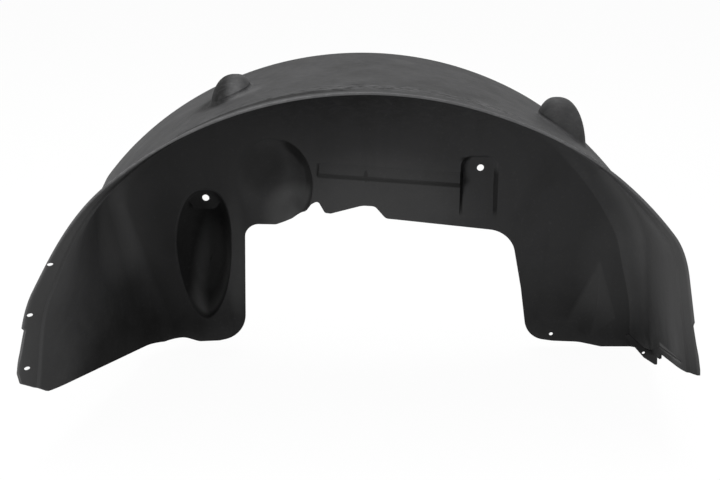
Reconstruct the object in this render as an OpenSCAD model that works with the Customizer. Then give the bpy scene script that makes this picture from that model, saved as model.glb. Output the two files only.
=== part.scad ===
// Wheel arch liner: one sheet of moulded plastic that lines the space above a road wheel.
// Millimetres. X runs along the car, Y from the outer rim in to the back wall, Z up.
// The wheel turns about a line along Y, through the arch centre.

/* [Arch] */
// Inside radius of the arch at the outer rim
arch_r = 380; // [350:1:410]
// Depth from the rim to the inner face of the back wall
depth = 262; // [235:1:290]
// How much smaller the arch is at the back wall, as a radius
draft = 8.5; // [0:0.5:16]
// Thickness of the sheet
sheet = 2.5; // [2:0.1:4]
// Height of the arch centre over the base plane
arch_z = 4.8; // [0:0.1:20]
// Reach of the fold between the arch and the back wall
fold = 30; // [20:1:36]

/* [Side panels] */
// Distance of the left side from the arch centre at the rim
left_rim_x = 358.5; // [354:0.5:364]
// Lean of the left side at the rim, in degrees
left_rim_lean = 10.5; // [4:0.5:14]
// How much narrower the arch is where the left side starts
left_tuck = 8.5; // [4:0.5:16]
// Distance of the left side from the arch centre at the wall
left_wall_x = 243; // [235:1:270]
// Lean of the left side at the wall, in degrees
left_wall_lean = 14; // [8:0.5:18]
// Distance of the right side from the arch centre at the rim
right_rim_x = 350.5; // [346:0.5:356]
// How much wider the arch is where the right side starts
right_swell = 3.5; // [0:0.5:6]
// Lean of the right side at the rim, in degrees
right_rim_lean = 11.5; // [6:0.1:16]
// Distance of the right side from the arch centre at the wall
right_wall_x = 350; // [340:1:356]
// Lean of the right side at the wall, in degrees
right_wall_lean = 5; // [0:0.5:10]
// Height of the left rim end above the base plane
left_end_z = 73; // [60:1:82]
// Height of the right rim end above the base plane
right_end_z = 91; // [80:1:100]
// Height of the back wall's left foot above the base plane
left_foot_z = 14; // [8:0.5:20]
// Height of the back wall's right foot above the base plane
right_foot_z = 2.5; // [0:0.5:8]
// Reach of the fold at the foot of the left side
left_fold = 28; // [20:1:54]
// Distance of the right crease from the corner, at the foot
right_fold = 14; // [8:1:36]
// Reach of the right side's roll towards the rim
right_roll = 66; // [40:1:68]
// How far the right side's roll stands in front of the wall at the corner
right_crease = 11; // [4:0.5:16]
// How far the left rim flares out
left_flare = 14; // [0:0.5:20]
// How far the right rim flares out
right_flare = 8; // [0:0.5:14]
// Depth of the flare behind the rim
flare_depth = 70; // [50:1:90]

/* [Rim lip] */
// Depth of the lip along the rim
lip_depth = 18; // [10:1:24]
// Height of the lip over the sheet behind it
lip_step = 2; // [0:0.1:3]

/* [Back wall opening] */
// Left edge of the opening, from the arch centre
gap_left = 139; // [130:1:144]
// Right edge of the opening, from the arch centre
gap_right = 197; // [190:1:204]
// Place of the notch in the opening's top edge, from the arch centre
notch_x = -54; // [-60:1:-48]
// Height of the opening's upper left corner
gap_top_left = 168; // [150:1:180]
// Height of the opening's upper right corner
gap_top_right = 158; // [145:1:165]

/* [Long pocket] */
// Centre of the long pocket along X
pocket_x = -191; // [-196:1:-182]
// Height of its widest level
pocket_z = 144; // [130:1:150]
// Half width at that level
pocket_w = 34; // [26:0.5:36]
// Length above that level
pocket_up = 69; // [55:1:75]
// Length below that level
pocket_down = 101; // [80:1:106]
// Depth of the long pocket
pocket_depth = 42; // [24:1:50]
// Depth of the bolt seat at its top
pocket_seat = 9; // [5:0.5:14]

/* [Round pocket] */
// Centre of the round pocket along X
dome_x = -102; // [-108:1:-98]
// Height of its centre
dome_z = 216; // [210:1:222]
// Half width of the round pocket
dome_w = 45; // [34:1:48]
// Half height of the round pocket
dome_h = 57; // [45:1:60]
// Depth of the round pocket
dome_depth = 24; // [12:1:34]

/* [Bolt seat] */
// Centre of the arched seat along X
seat_x = 140.5; // [132:0.5:148]
// Width of the seat
seat_w = 43; // [34:0.5:48]
// Height of its top
seat_top = 251; // [240:1:260]
// Height where it runs out
seat_foot = 178; // [172:1:190]
// Depth of the seat
seat_depth = 8; // [5:0.5:12]
// How much narrower each side of the seat is at its floor
seat_draft = 3; // [1:0.5:5]

/* [Ledge] */
// Length of the ledge beside the seat
ledge_len = 170; // [120:1:174]
// Height of the ledge at its lower edge, on the left
ledge_z = 226; // [218:1:234]
// Width of the ledge
ledge_w = 18; // [12:1:24]
// How far the ledge stands out
ledge_out = 4; // [2:0.5:6]
// Slope of the ledge, in degrees
ledge_slope = 4.4; // [0:0.1:6]

/* [Domes on the arch] */
// Place of the left dome along X
left_dome_x = -134; // [-145:1:-120]
// Place of the right dome along X
right_dome_x = 207; // [196:1:214]
// Place of both domes along Y
domes_y = 128; // [110:1:150]
// Height of the left dome over the arch
left_dome_h = 22; // [12:1:32]
// Height of the right dome over the arch
right_dome_h = 35; // [22:1:42]

/* [Right foot] */
// Place of the ear along Y
ear_y = 190; // [184:1:196]
// Half width of the bead along the foot
bead_r = 1.6; // [1.5:0.1:2.4]
// Depth of the facet beside the right fold
facet_depth = 3.5; // [2:0.5:8]

/* [Holes] */
// Diameter of the two wall bolt holes
wall_hole_d = 8.5; // [5:0.1:10]
// Diameter of the edge screw holes
edge_hole_d = 5; // [3:0.1:6]
// Diameter of the hole in the ear
ear_hole_d = 4; // [3:0.1:5]

/* [Hidden] */
plastic = [0.13, 0.13, 0.135];
columns = 70;
// the three holes along the left rim: place from 0 at its end, and depth behind the edge
rim_holes = [[0.033, 8.5], [0.0941, 5], [0.1537, 4]];
fold_steps = 6;
$fn = 48;
wall_r = arch_r - draft;
mid_x = 0.9;
low_z = 2.58;
rims_y = [0, lip_depth * 0.5, lip_depth, lip_depth + 4, 32, 44, 58, 76, 104];

function mix(a, b, t) = a + (b - a) * t;
function clamp(t) = max(0, min(1, t));
function soft(t) = let (c = clamp(t)) c * c * (3 - 2 * c);
// the smaller of two values, with the corner between them eased over a width k
function ease_min(a, b, k) = let (h = max(k - abs(a - b), 0) / k) min(a, b) - h * h * k / 4;
// polar distance of a straight side whose normal points along the angle n
function side(p, n, a) = p / max(cos(a - n), 0.2);

// angle along the arch, from the left foot to the right foot, at the rim and at the wall
rim_a0 = 180 - asin((left_end_z - arch_z) / left_rim_x);
rim_a1 = asin((right_end_z - arch_z) / right_rim_x);
wall_a0 = 180 - asin((left_foot_z - arch_z) / (left_wall_x + 10));
wall_a1 = asin((right_foot_z - arch_z) / right_wall_x);
function rim_a(s) = mix(rim_a0, rim_a1, s);
function wall_a(s) = mix(wall_a0, wall_a1, s);

// plan of the rim and of the wall's outer corner, as distances from the arch centre
function rim_radius(a) =
    ease_min(ease_min(arch_r + right_swell * soft((72 - a) / 22) - left_tuck * soft((a - 131) / 20),
                      side(right_rim_x, right_rim_lean, a), 10),
             side(left_rim_x, 180 - left_rim_lean, a), 8);
function wall_radius(a) =
    ease_min(ease_min(wall_r, side(right_wall_x, right_wall_lean, a), 6),
             side(left_wall_x, 180 + left_wall_lean, a), 24);
function polar(r, a) = [r * cos(a), arch_z + r * sin(a)];
function rim(s) = polar(rim_radius(rim_a(s)), rim_a(s));
function corner(s) = polar(wall_radius(wall_a(s)), wall_a(s));
// inner end of the wall's sheet, hidden inside the opening until it is trimmed
function inner_end(s) = polar(118, wall_a(s));
// unit normal of a plan line, pointing away from the wheel
function outward(p, q) = let (d = q - p) [-d[1], d[0]] / norm(d);
function rim_normal(s) = outward(rim(s - 0.002), rim(s + 0.002));
function corner_normal(s) = outward(corner(s - 0.002), corner(s + 0.002));

// how far the sheet stands out of the plain arch near the rim
function flare_at(s) = s < 0.5 ? left_flare * soft((0.42 - s) / 0.3) : right_flare * soft((s - 0.66) / 0.25);
function rim_lift(s, y) =
    flare_at(s) * (pow(clamp(1 - y / flare_depth), 3) - 1) * clamp(1 - y / depth)
    + lip_step * soft((lip_depth + 4 - y) / 4);
// reach of the fold along the wall, reach of its roll along the arch, and how far it stands off at the corner
function wall_reach(s) =
    s < 0.5 ? mix(left_fold, fold, soft((s - 0.1) / 0.24)) : mix(fold, right_fold, soft((s - 0.84) / 0.12));
function roll(s) = mix(wall_reach(s), right_roll, soft((s - 0.66) / 0.14));
function crease(s) = right_crease * soft((s - 0.68) / 0.12) * soft((1.05 - s) / 0.12);

// point of the arch's inner face (t = 0) or outer face (t = sheet), at depth y
function side_pt(s, y, t) =
    let (n0 = rim_normal(s), k = y / (depth + t),
         q = mix(rim(s) + n0 * t, corner(s) + corner_normal(s) * t, k) + n0 * rim_lift(s, y))
    [q[0], y, q[1]];

// one rib of the sheet: rim, arch, fold and wall, on its inner or outer face
function rib(s, t) =
    let (wall_y = depth + t,
         roll_y = depth - roll(s),
         p1 = corner(s) + corner_normal(s) * t,
         a = side_pt(s, roll_y, t),
         b = [p1[0], wall_y - crease(s), p1[1]],
         e = [inner_end(s)[0], wall_y, inner_end(s)[1]],
         f = [p1[0], wall_y, p1[1]],
         c = f + (e - f) / norm(e - f) * (wall_reach(s) + t))
    concat(
        [for (y = rims_y) side_pt(s, y, t)],
        [side_pt(s, mix(rims_y[len(rims_y) - 1], roll_y, 0.5), t)],
        [for (i = [0:fold_steps])
            let (k = i / fold_steps, m = 2 * 0.76 * k * (1 - k), u = (1 - k) * (1 - k), v = k * k)
            (a * u + b * m + c * v) / (u + m + v)],
        [e]);

// the plain sheet, closed along its edges
module sheet_loft() {
    ribs = [for (i = [0:columns]) let (s = i / columns) concat(rib(s, 0), rib(s, sheet))];
    n = len(ribs[0]) / 2;
    m = 2 * n;
    // one loop round a rib: up the inner face and back down the outer face
    loop = concat([for (j = [0:n - 1]) j], [for (j = [0:n - 1]) m - 1 - j]);
    pts = [for (r = ribs) each r];
    polyhedron(
        points = pts,
        faces = concat(
            [for (i = [0:columns - 1], j = [0:m - 1])
                let (a = i * m + loop[j], b = i * m + loop[(j + 1) % m], c = a + m, d = b + m)
                each [[a, c, b], [b, c, d]]],
            [for (j = [0:n - 2]) each [[j, j + 1, n + j], [j + 1, n + j + 1, n + j]]],
            [for (j = [0:n - 2]) let (o = columns * m)
                each [[o + j, o + n + j, o + j + 1], [o + j + 1, o + n + j, o + n + j + 1]]]),
        convexity = 8);
}

// a flat outline in X and Z, given depth along Y
module along_y(y0, y1) {
    translate([0, y1, 0]) rotate([90, 0, 0]) linear_extrude(height = y1 - y0) children();
}

// corner points with a radius each, turned into a rounded outline
function rounded(v) = [for (i = [0:len(v) - 1])
    let (p = v[i], a = v[(i + len(v) - 1) % len(v)], b = v[(i + 1) % len(v)],
         pa = [a[0] - p[0], a[1] - p[1]], pb = [b[0] - p[0], b[1] - p[1]],
         ua = pa / norm(pa), ub = pb / norm(pb),
         half = acos(ua * ub) / 2,
         t = p[2] / tan(half),
         s = [p[0], p[1]] + ua * t, e = [p[0], p[1]] + ub * t,
         mid = (ua + ub) / norm(ua + ub),
         o = [p[0], p[1]] + mid * (p[2] / sin(half)),
         a0 = atan2(s[1] - o[1], s[0] - o[0]),
         raw = atan2(e[1] - o[1], e[0] - o[0]) - a0,
         turn = raw > 180 ? raw - 360 : raw < -180 ? raw + 360 : raw,
         n = p[2] < 0.5 ? 0 : max(2, ceil(abs(turn) / 12)))
    each n == 0 ? [[p[0], p[1]]] : [for (k = [0:n]) o + p[2] * [cos(a0 + turn * k / n), sin(a0 + turn * k / n)]]];

// everything the press cuts away below and inside the back wall
module opening() {
    along_y(depth - 14, depth + 60)
        polygon(rounded([
            [-gap_left - 124, -80, 0], [-gap_left - 124, left_foot_z - 4, 0], [-gap_left - 112, left_foot_z - 0.5, 20],
            [-gap_left - 80, left_foot_z + 4.5, 24], [-gap_left - 62, left_foot_z - 1.5, 16],
            [-gap_left - 37, left_foot_z - 0.5, 12],
            [-gap_left - 4, left_foot_z + 7, 34], [-gap_left, gap_top_left, 17],
            [notch_x - 48, gap_top_left - 2, 12], [notch_x - 28, gap_top_left + 4, 14],
            [notch_x - 13, gap_top_left + 13, 8], [notch_x - 5, gap_top_left + 24, 5],
            [notch_x + 3, gap_top_left + 28, 4], [notch_x + 11, gap_top_left + 13, 4],
            [notch_x + 18, gap_top_left + 12, 8], [notch_x + 56, gap_top_left + 22, 26],
            [notch_x + 71, gap_top_left + 21, 9], [notch_x + 84, gap_top_right + 15.5, 9],
            [notch_x + 94, gap_top_right + 14.5, 9], [gap_right - 15, gap_top_right - 2, 36],
            [gap_right, 82, 30], [gap_right + 10, right_foot_z + 13.5, 28], [gap_right + 43, right_foot_z + 8.5, 24],
            [gap_right + 75, right_foot_z + 7, 60], [gap_right + 103, right_foot_z + 0.5, 0],
            [gap_right + 103, -80, 0]]));
}

// closed outline of the long pocket, grown by g
function long_ring(y, k, g) = [for (i = [0:35])
    let (p = i * 10, up = sin(p) > 0,
         w = (pocket_w + g) * k, h = (up ? pocket_up : pocket_down) * k + g,
         q = up ? 0.78 : 1.12)
    [pocket_x + 1 + sign(cos(p)) * w * pow(abs(cos(p)), q) + (up ? 4 * sin(p) : 0), y,
     pocket_z - 40 * (1 - k) + h * sin(p)]];
// closed outline of the round pocket, k of its full size: soft on its left and steep on its right
function dome_fall(p, k) = mix(soft(1 - k), sqrt(1 - k * k), soft((cos(p - 20) + 0.3) / 0.9));
function dome_ring(y, k, g, fall) = [for (i = [0:35])
    let (p = i * 10, cx = mix(dome_x + 23, dome_x, k), cz = mix(dome_z - 14, dome_z, k))
    [cx + (dome_w + g) * k * cos(p), y + (fall ? dome_depth * dome_fall(p, k) : 0), cz + (dome_h + g) * k * sin(p)]];

// solid between a stack of equal rings that run along Y
module stack(rings) {
    n = len(rings[0]);
    m = len(rings);
    polyhedron(
        points = [for (r = rings) each r],
        faces = concat(
            [for (i = [0:m - 2], j = [0:n - 1])
                let (a = i * n + j, b = i * n + (j + 1) % n, c = a + n, d = b + n)
                each [[a, b, c], [b, d, c]]],
            [[for (j = [0:n - 1]) n - 1 - j]],
            [[for (j = [0:n - 1]) (m - 1) * n + j]]),
        convexity = 4);
}

// the long pocket as a solid, its walls g outside the inner face
module long_solid(g) {
    d = pocket_depth + g;
    difference() {
        stack(concat(
            g > 0 ? [long_ring(depth + sheet * 0.5, 1, g)] : [long_ring(depth - 4, 1, 2), long_ring(depth, 1, 1.2)],
            [for (p = [[0.06, 0.965], [0.3, 0.88], [0.6, 0.77], [0.82, 0.66], [0.95, 0.52], [1, 0.32]])
                long_ring(depth + d * p[0] + (g > 0 ? 0.02 : 0), p[1], g)]));
        // shelf that carries the bolt seat
        along_y(depth + pocket_seat + g, depth + d + 5)
            polygon(rounded([[pocket_x - 60, 260, 0], [pocket_x - 60, 196, 0], [pocket_x - 14 + g, 192, 4],
                             [pocket_x - 9 + g, 184 + g, 7], [pocket_x + 17 - g, 184 + g, 7],
                             [pocket_x + 22 - g, 192, 4], [pocket_x + 60, 196, 0], [pocket_x + 60, 260, 0]]));
    }
}

// the round pocket as a solid
module dome_solid(g) {
    skin = g > 0 ? g - 0.05 : 0;
    stack(concat(
        g > 0 ? [dome_ring(depth + sheet * 0.5, 1, g, false)]
              : [dome_ring(depth - 4, 1.02, 0, false), dome_ring(depth, 1, 0, false)],
        [for (a = [15:15:75]) dome_ring(depth + skin, cos(a), g, true)],
        [dome_ring(depth + dome_depth + g, 0.12, g, false)]));
}

// arched outline of the bolt seat at a depth, with half width w
function seat_ring(y, w) = [for (q = rounded([[w, seat_foot - 20, 0], [w, seat_top - seat_w / 2 + w, w * 0.62],
        [-w, seat_top - seat_w / 2 + w, w * 0.62], [-w, seat_foot - 20, 0]]))
    [seat_x + q[0], y, q[1]]];

// the bolt seat as a solid with drafted sides, which runs out at its foot
module seat_solid(g) {
    y0 = g > 0 ? depth + sheet * 0.5 : depth - ledge_out - 2;
    y1 = depth + seat_depth + g;
    intersection() {
        stack([seat_ring(y0, seat_w / 2 + g), seat_ring(depth + g, seat_w / 2 + g), seat_ring(y1, seat_w / 2 + g - seat_draft)]);
        // side profile: flat behind the bolt, then a ramp down to the wall
        translate([seat_x - seat_w, 0, 0]) rotate([90, 0, 90]) linear_extrude(height = 2 * seat_w)
            polygon([[depth - ledge_out - 3, seat_foot - g], [depth + g, seat_foot - g],
                     [y1, seat_foot + 40], [y1 + 1, seat_foot + 40], [y1 + 1, seat_top + 30],
                     [depth - ledge_out - 3, seat_top + 30]]);
    }
}

// the ledge as a wedge, standing out of the wall's inner face; moved by g along Y and shorter by g at both ends
module ledge_solid(g) {
    x0 = seat_x - seat_w / 2 - ledge_len;
    translate([x0, g, ledge_z]) rotate([0, ledge_slope, 0]) rotate([90, 0, 90])
        translate([0, 0, g]) linear_extrude(height = ledge_len - 2 * g + (g > 0 ? -1 : 1))
            polygon([[depth + 0.6, -0.6], [depth, 0], [depth - ledge_out, ledge_out], [depth - ledge_out, ledge_out + 1],
                     [depth, ledge_w], [depth + 0.6, ledge_w]]);
}

// rounded outline of an arch dome at height z, k of its full size
function bump_ring(cx, wx, wy, lean, z, k) = [for (i = [0:23])
    let (p = i * 15)
    [cx + lean * (1 - k) + wx * k * sign(cos(p)) * pow(abs(cos(p)), 0.8),
     domes_y + wy * k * sign(sin(p)) * pow(abs(sin(p)), 0.8), z]];

// a dome on the arch as a solid, its skin g outside the inner face
module bump_solid(cx, wx, wy, lean, top, foot, g) {
    h = top - foot;
    rings = concat(
        [bump_ring(cx, wx + g - sheet, wy + g - sheet, lean, foot - 30, 1)],
        [for (a = [0:15:75]) bump_ring(cx, wx + g - sheet, wy + g - sheet, lean, foot + (h + g - sheet) * sin(a), pow(cos(a), 0.8))],
        [bump_ring(cx, wx + g - sheet, wy + g - sheet, lean, foot + h + g - sheet, 0.16)]);
    n = 24;
    m = len(rings);
    polyhedron(
        points = [for (r = rings) each r],
        faces = concat(
            [for (i = [0:m - 2], j = [0:n - 1])
                let (a = i * n + j, b = i * n + (j + 1) % n, c = a + n, d = b + n)
                each [[a, c, b], [b, c, d]]],
            [[for (j = [0:n - 1]) j]],
            [[for (j = [0:n - 1]) m * n - 1 - j]]),
        convexity = 4);
}

// height of the arch's inner face over a place x, at the domes' depth
function crown(x) = arch_z + sqrt(pow(arch_r - draft * domes_y / depth, 2) - x * x);

module left_dome(g) {
    top = crown(left_dome_x) + left_dome_h;
    bump_solid(left_dome_x, 23, 34, 3, top, top - 34, g);
}

module right_dome(g) {
    top = crown(right_dome_x) + right_dome_h;
    bump_solid(right_dome_x, 29, 26, -4, top, top - 62, g);
}

// the space inside the arch, out to the middle of the sheet
module arch_core() {
    translate([0, 0, arch_z]) rotate([-90, 0, 0])
        cylinder(h = depth, r1 = arch_r + sheet / 2, r2 = wall_r + sheet / 2, $fn = 180);
}

// what is cut off the rim at its two ends, seen along X
module rim_trim(x, v) {
    translate([x - 40, 0, 0]) rotate([90, 0, 90]) linear_extrude(height = 80) polygon(rounded(v));
}

module rim_trims() {
    rim_trim(-left_rim_x, [[-6, left_end_z - 53, 0], [-6, left_end_z + 81, 0], [0, left_end_z + 78, 0],
                           [3, left_end_z + 74, 2], [1.5, left_end_z + 51, 6], [-0.5, left_end_z + 31, 3],
                           [4, left_end_z + 14, 5], [36, left_end_z - 12, 5], [70, left_end_z - 23, 0],
                           [70, left_end_z - 53, 0]]);
    rim_trim(right_rim_x, [[-6, right_end_z - 81, 0], [-6, right_end_z + 67, 0], [0, right_end_z + 64, 0],
                           [4, right_end_z + 57, 2], [2.5, right_end_z + 37, 6], [-0.5, right_end_z + 16, 2],
                           [2, right_end_z + 2.5, 1], [146, right_end_z - 42, 2], [150, right_end_z - 51, 2],
                           [150, right_end_z - 81, 0]]);
}

// where the ear leaves the right side
ear_root = side_pt(0.99, ear_y, 0);

// small ear at the foot of the right side
module ear() {
    translate([ear_root[0], 0, ear_root[2]]) along_y(ear_y, ear_y + sheet)
        polygon(rounded([[-33, 14, 1], [-29, 16, 1], [-9, -3, 3], [7, -9, 2], [8, -24, 1], [5, -24, 1], [-9, -14.5, 3],
                         [-19, -3, 3]]));
}

// bead along the foot of the right side, from its rim end to the ear
module foot_bead() {
    stack([for (y = [36, 58, 80, 102, 124, 146]) let (c = side_pt(0.984, y, 0))
        [for (a = [0:45:315]) [c[0] + bead_r * cos(a), y, c[2] + bead_r * sin(a)]]]);
}

// shallow facet pressed into the wall beside the right fold
module facet(g) {
    x = right_wall_x - 66;
    y0 = g > 0 ? depth + sheet * 0.5 : depth - 0.5;
    y1 = depth + facet_depth + g;
    polyhedron(
        points = [[x + 7.5, y0, 122 + g], [x - 34 - g, y0, 42], [x, y0, 14 - g], [x + 33 + g, y0, 42], [x + 9, y1, 46]],
        faces = [[0, 1, 4], [1, 2, 4], [2, 3, 4], [3, 0, 4], [3, 2, 1, 0]]);
}

module hole(x, y, z, d, len) {
    translate([x, y, z]) rotate([-90, 0, 0]) cylinder(h = len, d = d);
}

// places of the holes: x, y, z, diameter, length of the cut
holes = [
    [pocket_x + 5.2, depth + pocket_seat - 3, pocket_z + 53.4, wall_hole_d, sheet + 6],
    [seat_x + 2.2, depth + seat_depth - 3, seat_top - 16.8, wall_hole_d, sheet + 6],
    [gap_right + 40.5, depth - 3, right_foot_z + 17.5, edge_hole_d, sheet + 6],
    each [for (h = rim_holes) let (c = side_pt(h[0], h[1], sheet / 2)) [c[0], -5, c[2], edge_hole_d, 40]],
    [ear_root[0] - 9.5, ear_y - 3, ear_root[2] - 8.8, ear_hole_d, sheet + 6]];

module liner_as_fitted() {
    difference() {
        union() {
            sheet_loft();
            long_solid(sheet);
            dome_solid(sheet);
            seat_solid(sheet);
            facet(sheet);
            difference() {
                union() {
                    left_dome(sheet);
                    right_dome(sheet);
                }
                arch_core();
            }
            ledge_solid(0);
            ear();
            foot_bead();
        }
        long_solid(0);
        dome_solid(0);
        seat_solid(0);
        facet(0);
        left_dome(0);
        right_dome(0);
        ledge_solid(sheet);
        opening();
        rim_trims();
        for (h = holes) hole(h[0], h[1], h[2], h[3], h[4]);
    }
}

// the liner with the middle of its footprint at the origin
module arch_liner() {
    color(plastic) translate([-mid_x, -(depth + pocket_depth + sheet) / 2, -low_z]) liner_as_fitted();
}

arch_liner();
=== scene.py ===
"""Wheel arch liner: one moulded sheet of black plastic, dressed over its CAD frame.

Blender's units are metres. The plan below is worked in millimetres, as the CAD source is:
X runs along the vehicle, Y from the open rim in to the back wall, Z up.
"""
import math

import bpy
import mathutils
import numpy as np
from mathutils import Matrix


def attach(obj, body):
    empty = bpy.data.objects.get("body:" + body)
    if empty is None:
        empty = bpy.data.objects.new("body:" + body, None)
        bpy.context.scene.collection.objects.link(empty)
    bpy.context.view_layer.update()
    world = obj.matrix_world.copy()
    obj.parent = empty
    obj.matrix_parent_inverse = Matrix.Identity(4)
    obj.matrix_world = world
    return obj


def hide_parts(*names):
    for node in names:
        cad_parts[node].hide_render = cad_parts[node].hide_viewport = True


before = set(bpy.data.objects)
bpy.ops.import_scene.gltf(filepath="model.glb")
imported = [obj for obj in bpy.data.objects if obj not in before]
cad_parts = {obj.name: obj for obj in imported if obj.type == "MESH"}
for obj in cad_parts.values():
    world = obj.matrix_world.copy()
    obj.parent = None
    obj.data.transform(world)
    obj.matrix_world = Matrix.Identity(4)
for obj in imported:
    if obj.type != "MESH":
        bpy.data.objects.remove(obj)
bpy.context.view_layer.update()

bl_info = {
    "name": "Wheel arch liner",
    "version": (1, 0, 0),
    "blender": (4, 5, 0),
    "location": "View3D > Sidebar > Liner",
    "description": "Builds a moulded wheel arch liner and a plain stage for it",
    "category": "Object",
}

MM = 0.001
# middle of the footprint and lowest edge, in the plan's millimetres
MIDDLE = np.array([0.9, 153.25, 2.58])
# point that the camera looks at, in the plan's millimetres
AIM = (-2.4, 120.0, 198.8)
# points round the outline of a pocket or a dome
ROUND = 120


class LinerSizes(bpy.types.PropertyGroup):
    """Main sizes of the liner"""

    arch: bpy.props.FloatProperty(
        name="Arch radius", description="Inside radius of the arch at the outer rim",
        default=0.380, min=0.35, max=0.41, unit="LENGTH")
    depth: bpy.props.FloatProperty(
        name="Depth", description="From the rim to the inner face of the back wall",
        default=0.262, min=0.235, max=0.29, unit="LENGTH")
    sheet: bpy.props.FloatProperty(
        name="Sheet", description="Thickness of the sheet",
        default=0.0025, min=0.002, max=0.004, unit="LENGTH")
    lip_step: bpy.props.FloatProperty(
        name="Lip step", description="Height of the lip over the sheet behind it",
        default=0.002, min=0.0, max=0.003, unit="LENGTH")
    long_pocket: bpy.props.FloatProperty(
        name="Long pocket", description="Depth of the long pocket",
        default=0.042, min=0.024, max=0.05, unit="LENGTH")
    round_pocket: bpy.props.FloatProperty(
        name="Round pocket", description="Depth of the round pocket",
        default=0.024, min=0.012, max=0.034, unit="LENGTH")
    seat: bpy.props.FloatProperty(
        name="Bolt seat", description="Depth of the arched bolt seat",
        default=0.008, min=0.005, max=0.012, unit="LENGTH")
    bolt_hole: bpy.props.FloatProperty(
        name="Bolt hole", description="Diameter of the two bolt holes in the back wall",
        default=0.0085, min=0.005, max=0.01, unit="LENGTH")
    edge_hole: bpy.props.FloatProperty(
        name="Edge hole", description="Diameter of the screw holes along the edges",
        default=0.005, min=0.003, max=0.006, unit="LENGTH")
    ear_hole: bpy.props.FloatProperty(
        name="Ear hole", description="Diameter of the hole in the ear",
        default=0.004, min=0.003, max=0.005, unit="LENGTH")


class LinerFinish(bpy.types.PropertyGroup):
    """Colours and surface of the liner"""

    plastic: bpy.props.FloatVectorProperty(
        name="Plastic", description="Colour of the moulded plastic",
        default=(0.022, 0.022, 0.0225), min=0.0, max=1.0, size=3, subtype="COLOR")
    # colour of the painted shade, also used for the darker stains and scuff flecks
    shade_and_stain: bpy.props.FloatVectorProperty(
        name="Stain", description="Colour of the darker patches",
        default=(0.006, 0.006, 0.006), min=0.0, max=1.0, size=3, subtype="COLOR")
    # colour of the painted light on the paler patches
    painted_light: bpy.props.FloatVectorProperty(
        name="Dust", description="Colour of the dusty patches",
        default=(0.06, 0.06, 0.06), min=0.0, max=1.0, size=3, subtype="COLOR")
    # colour of the scuffs along the rim and of the painted highlights on the rim's edge and the domes
    scuff_and_highlight: bpy.props.FloatVectorProperty(
        name="Scuff", description="Colour of scuffed plastic along the rim",
        default=(0.13, 0.13, 0.132), min=0.0, max=1.0, size=3, subtype="COLOR")
    roughness: bpy.props.FloatProperty(
        name="Roughness", description="Roughness of the moulded face",
        default=0.65, min=0.1, max=1.0, subtype="FACTOR")
    sheen: bpy.props.FloatProperty(
        name="Sheen", description="Strength of the surface reflection, 0.5 for clean plastic",
        default=0.1, min=0.0, max=1.0, subtype="FACTOR")
    grain: bpy.props.FloatProperty(
        name="Grain", description="Depth of the moulded grain",
        default=0.00018, min=0.0, max=0.001, unit="LENGTH")


class LinerStage(bpy.types.PropertyGroup):
    """Light and viewpoint"""

    ambient: bpy.props.FloatProperty(
        name="Ambient", description="Strength of the even light from all round",
        default=0.25, min=0.0, max=1.0)
    overhead: bpy.props.FloatProperty(
        name="Overhead", description="Power of the overhead softbox",
        default=54.0, min=0.0, max=200.0, unit="POWER")
    left: bpy.props.FloatProperty(
        name="Left", description="Power of the softbox low on the left",
        default=66.0, min=0.0, max=200.0, unit="POWER")
    right: bpy.props.FloatProperty(
        name="Right", description="Power of the softbox low on the right",
        default=28.0, min=0.0, max=200.0, unit="POWER")
    elevation: bpy.props.FloatProperty(
        name="Elevation", description="Height of the viewpoint as an angle",
        default=math.radians(20.3), subtype="ANGLE")
    turn: bpy.props.FloatProperty(
        name="Turn", description="Sideways turn of the viewpoint",
        default=math.radians(-0.63), subtype="ANGLE")
    distance: bpy.props.FloatProperty(
        name="Distance", description="From the viewpoint to the point it looks at",
        default=1.276, min=0.5, max=5.0, unit="LENGTH")
    lens: bpy.props.FloatProperty(
        name="Lens", description="Focal length in millimetres",
        default=59.07, min=20.0, max=200.0)


# Plan of the sheet

def clamp(t):
    """t kept between 0 and 1"""
    return np.clip(t, 0.0, 1.0)


def mix(a, b, t):
    """a at t = 0 and b at t = 1"""
    return a + (b - a) * t


def soft(t):
    """0 to 1 with level ends"""
    c = clamp(t)
    return c * c * (3 - 2 * c)


def ease_min(a, b, k):
    """The smaller of two values, with the corner between them eased over a width k"""
    h = np.maximum(k - np.abs(a - b), 0) / k
    return np.minimum(a, b) - h * h * k / 4


def sin(a):
    """Sine of an angle in degrees"""
    return np.sin(np.radians(a))


def cos(a):
    """Cosine of an angle in degrees"""
    return np.cos(np.radians(a))


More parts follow.
